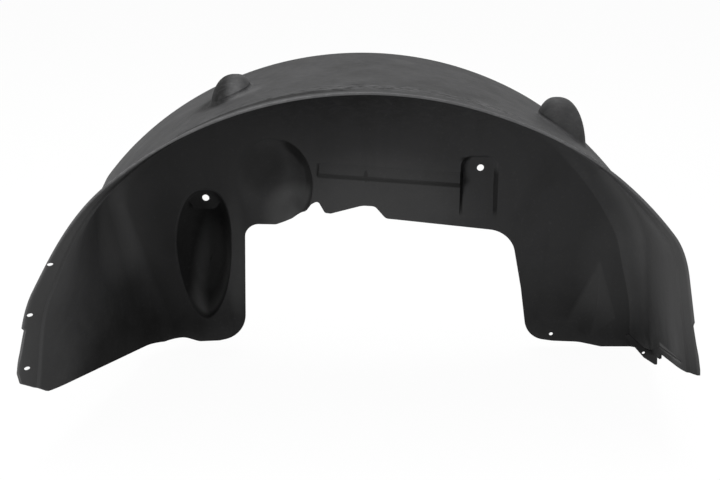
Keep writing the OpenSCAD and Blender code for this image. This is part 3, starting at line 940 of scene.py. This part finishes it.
def painted_shade(plan, x, y, z):
    """Painted shade where the sheet is dark: its feet, the top of the wall, the pockets' walls, the corners
    of the forms, the groove behind the lip, and a strip on the right near the rim
    """
    wall = on_wall(plan, y)
    # painted shade: darker towards the feet of the wall and of the two sides
    foot = (1 - z.smooth(20, 145)) * y.smooth(35, 125)
    left_foot = (1 - z.smooth(50, 150)) * (1 - x.smooth(-285, -215)) * y.smooth(60, 150)
    right_foot = (1 - z.smooth(45, 150)) * x.smooth(285, 325) * y.smooth(20, 95)
    feet = foot * 0.55 + left_foot * 0.4 + right_foot * 0.1
    # painted shade: darker at the top of the wall, under the arch
    head = z.smooth(252, 322) * wall
    round_shade = spot(x, z, plan.round_x - 14, plan.round_z + 20, 32, 40) * wall
    # darker strip on the right side near the rim
    right_strip = x.smooth(236, 290) * (1 - y.smooth(10, 62)) * (1 - z.smooth(240, 300))
    patches = head * 0.1 + round_shade * 0.5 + long_shadow(plan, x, y, z) * 0.85 + right_strip * 0.5
    lines = ledge_lines(plan, x, z) + seat_lines(plan, x, z) * 0.9 + round_shadow(plan, x, z) * 0.72
    # painted shade in the groove behind the lip, on the left of the top
    groove_shade = y.near(plan.lip_depth + 3, 9.0, 14.0) * z.smooth(262, 322) * (1 - x.smooth(-30, 10))
    return feet + patches + (lines * wall).smaller(1.0) + groove_shade * 0.95


def painted_lit(plan, x, y, z):
    """Painted light where the sheet is pale: the side panels, beside the rim, the middle of the wall, the
    faces of the facet, the floors of the two pockets, and a painted highlight along the bead
    """
    # painted light: paler beside the rim, on the lip, on the side panels and low on the right
    right = x.smooth(236, 290)
    low = 1 - z.smooth(240, 300)
    near_rim = (1 - y.smooth(3, 85)) * low * (1 - right)
    lip = (1 - y.smooth(plan.lip_depth + 2, plan.lip_depth + 5)) * (1 - x.smooth(-250, -200)) * low
    right_panel = (1 - y.smooth(225, 258)) * right * (1 - z.smooth(235, 290)) * z.smooth(40, 190)
    left_panel = (1 - x.smooth(-285, -225)) * spot(y, z, 245, 172, 100, 76)
    low_right = spot(x, z, 318, 110, 60, 100) * y.smooth(200, 236)
    sides = near_rim * 0.35 + lip * 0.2 + right_panel * 0.55 + left_panel * 0.55 + low_right * 0.2

    # painted light on the middle of the wall, the lower right of the round pocket and the faces of the facet
    upper_left = spot(x, z, -170, 262, 150, 90)
    beside_pocket = spot(x, z, -152, 125, 16, 90)
    above_opening = spot(x, z, 10, 190, 135, 80)
    in_round = 1 - round_reach(plan, x, z).smooth(0.8, 1.04)
    round_floor = spot(x, z, plan.round_x + 28, plan.round_z - 35, 50, 38) * in_round
    facet_left, facet_right = facet_faces(plan, x, z)
    wall = upper_left * 0.16 + beside_pocket * 0.25 + above_opening * 0.3 + round_floor * 0.8
    wall = (wall + facet_left * 0.28 + facet_right * 0.06) * on_wall(plan, y)

    # painted light on the floor of the long pocket
    middle = spot(x, z, plan.pocket_x + 12, 84, 34, 80)
    lower = spot(x, z, plan.pocket_x + 2, 58, 26, 38)
    long_floor = (middle + lower * 0.25) * y.smooth(plan.depth + 3, plan.depth + 12)
    # painted highlight along the bead
    beside_bead = between(y, plan.bead_start - 2, plan.bead_end + 2, 8) * x.smooth(300, 310)
    bead = (z - (102.4 - y * 0.284)).near(0, 1.4, 3.4) * beside_bead
    return sides + wall + long_floor * 0.7 + bead


def plastic_material(finish, plan):
    """Moulded black plastic with its stains and scuffs, and with painted shade, painted light and painted
    highlights, laid out in the plan's millimetres
    """
    sh = Shader(bpy.data.materials.new("moulded_plastic"))
    place = sh.add("ShaderNodeTexCoord", {}, {}).outputs["Object"]
    parts = sh.add("ShaderNodeSeparateXYZ", {}, {0: place})
    x, y, z = (Value(sh, parts.outputs[i]) * (1 / MM) + float(MIDDLE[i]) for i in range(3))
    upright = sh.add("ShaderNodeMapping", {}, {"Vector": place, "Scale": (1.0, 1.0, 0.22)}).outputs[0]
    along = sh.add("ShaderNodeMapping", {}, {"Vector": place, "Scale": (0.4, 1.0, 1.0)}).outputs[0]
    cloud = sh.noise(place, 9.0, 5.0, 0.6, 0.4)
    patch = sh.noise(place, 34.0, 5.0, 0.62, 0.6)
    streak = sh.noise(upright, 42.0, 4.0, 0.6)
    speck = sh.noise(place, 240.0, 3.0, 0.6)
    grain = sh.noise(place, 1100.0, 2.0, 0.5)
    scratch = sh.noise(along, 210.0, 4.0, 0.65, 0.8)

    high = z.smooth(262, 340)
    behind_lip = between(y, 8, 56, 14) * high
    left_dome = spot(x, y, plan.left_dome_x, plan.domes_y, 44, 50) * high
    right_dome = spot(x, y, plan.right_dome_x, plan.domes_y, 46, 46) * high
    # painted shade on the left face of the left dome
    shaded_face = left_dome * (1 - x.smooth(plan.left_dome_x - 13, plan.left_dome_x + 5)) * 1.25
    uneven = cloud.smooth(0.42, 0.7) * 0.25 + streak.smooth(0.5, 0.75) * 0.12
    flecks = (1 - scratch.smooth(0.36, 0.46)) * behind_lip * 0.6
    # painted shade, with random tone and dark scuff flecks
    shade_and_stains = (painted_shade(plan, x, y, z) * (0.85 + patch * 0.3) + shaded_face + uneven + flecks).smaller(0.97)
    # painted light
    painted_light = (painted_lit(plan, x, y, z) * (0.75 + patch * 0.5)).smaller(1.0)

    rim_top = behind_lip * between(x, -60, 180, 50)
    # painted highlight, mottled, on the lit faces of the two domes, and painted light over the shade at the
    # left dome's front foot
    lit_face = left_dome * x.smooth(plan.left_dome_x - 10, plan.left_dome_x + 4) + right_dome * 0.45
    mottled_highlight = (0.35 + patch.smooth(0.40, 0.62)) * lit_face
    lit_dome_foot = left_dome * x.smooth(plan.left_dome_x - 6, plan.left_dome_x + 8) * (1 - y.smooth(98, 120))
    # scuffs behind the rim, with the domes' painted highlights
    scuffs_and_highlights = scratch.smooth(0.46, 0.60) * (rim_top * 0.5 + high * 0.12) + mottled_highlight * 0.4 + lit_dome_foot * 0.35
    # painted highlight along the rim's edge, with a little wear
    rim_highlight = (1 - y.smooth(0.8, 3.6)) * (0.35 + z.smooth(230, 290) * 0.65)

    # specks and scuffs, with painted highlights
    marks_and_highlights = (speck.smooth(0.55, 0.78) * 0.05 + scuffs_and_highlights * 0.45).smaller(1.0)
    dark = sh.colour_mix(shade_and_stains, rgba(finish.plastic), rgba(finish.shade_and_stain))
    pale = sh.colour_mix(painted_light, dark, rgba(finish.painted_light))
    marked = sh.colour_mix(marks_and_highlights, pale, rgba(finish.scuff_and_highlight))
    colour = sh.colour_mix(rim_highlight * (0.12 + scratch * 0.4), marked, rgba(finish.scuff_and_highlight))
    rough = finish.roughness + (patch - 0.5) * 0.2 + shade_and_stains * 0.2 + scuffs_and_highlights * 0.1
    height = grain * 0.7 + speck * 0.6 + patch * 1.6 + scuffs_and_highlights * 2.5
    bump = sh.add("ShaderNodeBump", {}, {"Strength": 0.55, "Distance": finish.grain, "Height": height})
    body = sh.add("ShaderNodeBsdfPrincipled", {}, {
        "Base Color": colour, "Roughness": rough, "IOR": 1.49, "Specular IOR Level": finish.sheen,
        "Normal": bump.outputs[0]})
    sh.add("ShaderNodeOutputMaterial", {}, {"Surface": body.outputs[0]})
    return sh.owner


class LINER_OT_build(bpy.types.Operator):
    """Builds the liner's moulded sheet with its pockets, domes, edges and holes"""

    bl_idname = "liner.build"
    bl_label = "Build liner"

    def execute(self, context):
        sizes = context.scene.liner_sizes
        plan = Plan(sizes)
        liner = loft("liner", sheet_rings(plan))
        forms = (long_pocket, round_pocket, bolt_seat, wall_facet, left_dome, right_dome)
        for form in forms:
            combine(liner, form(plan, plan.sheet), "UNION")
        combine(liner, wall_ledge(plan, 0.0), "UNION")
        combine(liner, ear(plan), "UNION")
        combine(liner, foot_bead(plan), "UNION")
        for form in forms:
            combine(liner, form(plan, 0.0), "DIFFERENCE")
        combine(liner, wall_ledge(plan, plan.sheet), "DIFFERENCE")
        opening = prism_y("opening", opening_outline(plan), plan.depth - 14, plan.depth + 60)
        combine(liner, opening, "DIFFERENCE")
        for trim in rim_trims(plan):
            combine(liner, trim, "DIFFERENCE")
        self.drill_all(sizes, liner, plan)
        self.finish(context, liner, plan)
        return {"FINISHED"}

    @staticmethod
    def drill_all(sizes, liner, plan):
        """Two bolt holes and a screw hole in the back wall, three along the left rim and one in the ear"""
        bolt, edge, small = sizes.bolt_hole / MM, sizes.edge_hole / MM, sizes.ear_hole / MM

        def through(x, z, place, y, diameter):
            """Hole through the sheet whose face is at the depth y, at its place from a point"""
            drill(liner, x + place[0], y - 3, z + place[1], diameter, plan.sheet + 6)

        through(plan.pocket_x, plan.pocket_z, plan.shelf_hole, plan.depth + plan.pocket_shelf, bolt)
        through(plan.seat_x, plan.seat_top, plan.seat_hole, plan.depth + plan.seat_depth, bolt)
        through(plan.gap_right, plan.right_foot_z, plan.foot_hole, plan.depth, edge)
        for s, behind in plan.rim_holes:
            x, _, z = side_at(plan, s, behind, plan.sheet / 2)
            drill(liner, x, -5, z, edge, 40)
        root = ear_root(plan)
        through(root[0], root[2], plan.ear_hole, plan.ear_y, small)

    @staticmethod
    def finish(context, liner, plan):
        """Smooth faces, even normals, the plastic, the liner put under the root body, and the CAD part
        hidden
        """
        deselect()
        context.view_layer.objects.active = liner
        liner.select_set(True)
        bpy.ops.object.mode_set(mode="EDIT")
        bpy.ops.mesh.select_all(action="SELECT")
        bpy.ops.mesh.remove_doubles(threshold=2e-6)
        bpy.ops.object.mode_set(mode="OBJECT")
        bpy.ops.object.shade_smooth_by_angle(angle=math.radians(16))
        even = liner.modifiers.new("Even normals", "WEIGHTED_NORMAL")
        even.keep_sharp = True
        even.weight = 60
        bpy.ops.object.modifier_apply(modifier=even.name)
        liner.data.materials.clear()
        liner.data.materials.append(plastic_material(context.scene.liner_finish, plan))
        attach(liner, "root")
        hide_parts("arch_liner")


class LINER_OT_stage(bpy.types.Operator):
    """Sets the pale floor, the soft light and the viewpoint"""

    bl_idname = "liner.stage"
    bl_label = "Set stage"

    def execute(self, context):
        stage = context.scene.liner_stage
        deselect()
        bpy.ops.mesh.primitive_plane_add(size=12, location=(0, 0, 0))
        floor = context.object
        floor.name = "floor"
        floor.data.materials.append(self.floor_material())
        self.world(context, stage)
        self.softbox("overhead", (0.0, 0.1, 1.9), (0.0, 0.0, 0.2), 1.6, stage.overhead)
        self.softbox("left", (-1.6, -1.6, 0.5), (0.0, 0.0, 0.2), 1.0, stage.left)
        self.softbox("right", (1.6, -1.6, 0.5), (0.0, 0.0, 0.2), 1.0, stage.right)
        self.viewpoint(context, stage)
        context.scene.view_settings.view_transform = "Standard"
        return {"FINISHED"}

    @staticmethod
    def seen(sh):
        """1 for rays that show the background, 0 for those that light the object"""
        path = sh.add("ShaderNodeLightPath", {}, {})
        camera, glossy, through = (Value(sh, path.outputs[n]) for n in
                                   ("Is Camera Ray", "Is Glossy Ray", "Is Transmission Ray"))
        return camera.larger(glossy).larger(through)

    def floor_material(self):
        """Floor that shows nearly white and keeps a faint shadow, and throws little light back"""
        sh = Shader(bpy.data.materials.new("pale_floor"))
        shown = self.seen(sh)
        tone = sh.colour_mix(shown, rgba((0.3, 0.3, 0.3)), rgba((0.8, 0.8, 0.8)))
        pale = sh.add("ShaderNodeBsdfDiffuse", {}, {"Color": tone})
        white = sh.add("ShaderNodeEmission", {}, {"Color": rgba((1.0, 1.0, 1.0)), "Strength": 1.0})
        both = sh.add("ShaderNodeMixShader", {}, {0: shown * 0.96, 1: pale.outputs[0], 2: white.outputs[0]})
        sh.add("ShaderNodeOutputMaterial", {}, {"Surface": both.outputs[0]})
        return sh.owner

    def world(self, context, stage):
        """White surroundings to look at, and even light at a plain level for the object"""
        sh = Shader(bpy.data.worlds.new("surroundings"))
        level = stage.ambient + self.seen(sh) * (1.0 - stage.ambient)
        light = sh.add("ShaderNodeBackground", {}, {"Color": rgba((1.0, 1.0, 1.0)), "Strength": level})
        sh.add("ShaderNodeOutputWorld", {}, {"Surface": light.outputs[0]})
        context.scene.world = sh.owner

    @staticmethod
    def softbox(name, place, aim, size, power):
        """Square soft light at a place, turned to the point it aims at"""
        deselect()
        turn = (mathutils.Vector(aim) - mathutils.Vector(place)).to_track_quat("-Z", "Y").to_euler()
        bpy.ops.object.light_add(type="AREA", location=place, rotation=turn)
        lamp = bpy.context.object
        lamp.name = name
        lamp.data.size = size
        lamp.data.energy = power

    @staticmethod
    def viewpoint(context, stage):
        """Camera at the photograph's viewing angle"""
        e, t = stage.elevation, stage.turn
        back = np.array([math.sin(t) * math.cos(e), -math.cos(t) * math.cos(e), math.sin(e)])
        aim = placed(AIM)
        deselect()
        bpy.ops.object.camera_add(location=aim + back * stage.distance, rotation=(math.pi / 2 - e, 0.0, t))
        camera = context.object
        camera.name = "viewpoint"
        camera.data.lens = stage.lens
        camera.data.sensor_width = 36.0
        context.scene.camera = camera


class LINER_PT_panel(bpy.types.Panel):
    """Sizes, finish and stage of the liner"""

    bl_idname = "LINER_PT_panel"
    bl_label = "Wheel arch liner"
    bl_space_type = "VIEW_3D"
    bl_region_type = "UI"
    bl_category = "Liner"

    def draw(self, context):
        for group in (context.scene.liner_sizes, context.scene.liner_finish, context.scene.liner_stage):
            box = self.layout.box()
            for key in type(group).__annotations__:
                box.prop(group, key)
        self.layout.operator("liner.build")
        self.layout.operator("liner.stage")


CLASSES = (LinerSizes, LinerFinish, LinerStage, LINER_OT_build, LINER_OT_stage, LINER_PT_panel)


def register():
    """Registers the classes and the scene's settings"""
    for cls in CLASSES:
        bpy.utils.register_class(cls)
    bpy.types.Scene.liner_sizes = bpy.props.PointerProperty(type=LinerSizes)
    bpy.types.Scene.liner_finish = bpy.props.PointerProperty(type=LinerFinish)
    bpy.types.Scene.liner_stage = bpy.props.PointerProperty(type=LinerStage)


def unregister():
    """Removes the settings and the classes"""
    del bpy.types.Scene.liner_stage
    del bpy.types.Scene.liner_finish
    del bpy.types.Scene.liner_sizes
    for cls in reversed(CLASSES):
        bpy.utils.unregister_class(cls)


def main():
    """Builds the liner and its stage"""
    register()
    bpy.ops.liner.build()
    bpy.ops.liner.stage()


if __name__ == "__main__":
    main()
